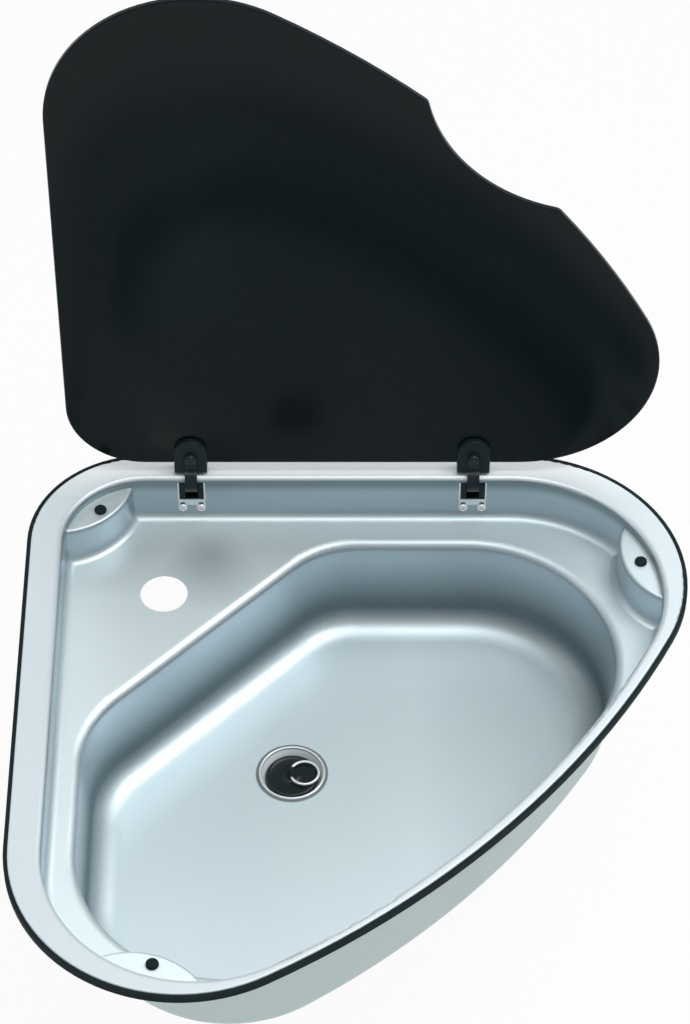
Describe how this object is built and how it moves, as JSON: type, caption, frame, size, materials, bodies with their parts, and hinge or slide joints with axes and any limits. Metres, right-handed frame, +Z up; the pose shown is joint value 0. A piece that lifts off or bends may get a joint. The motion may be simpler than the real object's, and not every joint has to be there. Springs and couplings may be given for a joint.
{
  "type": "kitchen sink with glass lid",
  "caption": "Stainless steel corner sink with a stepped recess, a hinged dark glass lid, a tap hole and a waste with pull-ring plug, for a caravan or camper kitchen.",
  "frame": {"origin": "middle of the rear rim edge, on the plane of the worktop that the rim seal rests on", "axes": "+X to the sink's right, +Y to the wall behind the sink, +Z up; the lid is stored open"},
  "size_m": [0.536, 0.541, 0.6955],
  "materials": {
    "stainless": "satin",
    "bracket_steel": "satin",
    "bright_steel": "polished",
    "black_arm": "satin",
    "black_plastic": "matte",
    "seal_rubber": "matte",
    "plug_rubber": "satin",
    "dark_glass": "polished"
  },
  "bodies": {
    "sink": {"basin": "stainless", "rim_seal": "seal_rubber", "lid_buffers": "seal_rubber", "wall_screws": "bright_steel", "wall_nuts": "bright_steel", "waste_flange": "stainless", "waste_gasket": "seal_rubber", "waste_body": "black_plastic", "waste_screw": "bright_steel", "hinge_bracket_left": "bracket_steel", "hinge_bracket_right": "bracket_steel", "hinge_liner_left": "black_plastic", "hinge_liner_right": "black_plastic", "hinge_pin_left": "bright_steel", "hinge_pin_right": "bright_steel"},
    "lid": {"glass_lid": "dark_glass", "hinge_arm_left": "black_arm", "hinge_arm_right": "black_arm", "glass_clamp_left": "black_plastic", "glass_clamp_right": "black_plastic", "clamp_pads_left": "seal_rubber", "clamp_pads_right": "seal_rubber", "clamp_plate_left": "black_plastic", "clamp_plate_right": "black_plastic", "clamp_bolt_left": "bright_steel", "clamp_bolt_right": "bright_steel"},
    "stopper": {"plug": "plug_rubber", "plug_eye": "bright_steel"},
    "pull_ring": {"plug_ring": "bright_steel"}
  },
  "joints": [
    {"name": "lid_hinge", "type": "hinge", "parent": "sink", "child": "lid", "pos_m": [0, -0.0164, 0.0005], "axis": [1, 0, 0], "range_deg": [0, 91.5]},
    {"name": "plug_lift", "type": "slide", "parent": "sink", "child": "stopper", "axis": [0, 0, 1], "range_m": [0, 0.03]},
    {"name": "ring_fold", "type": "hinge", "parent": "stopper", "child": "pull_ring", "pos_m": [-0.052, -0.228, -0.1261], "axis": [0, -1, 0], "range_deg": [0, 90]}
  ]
}
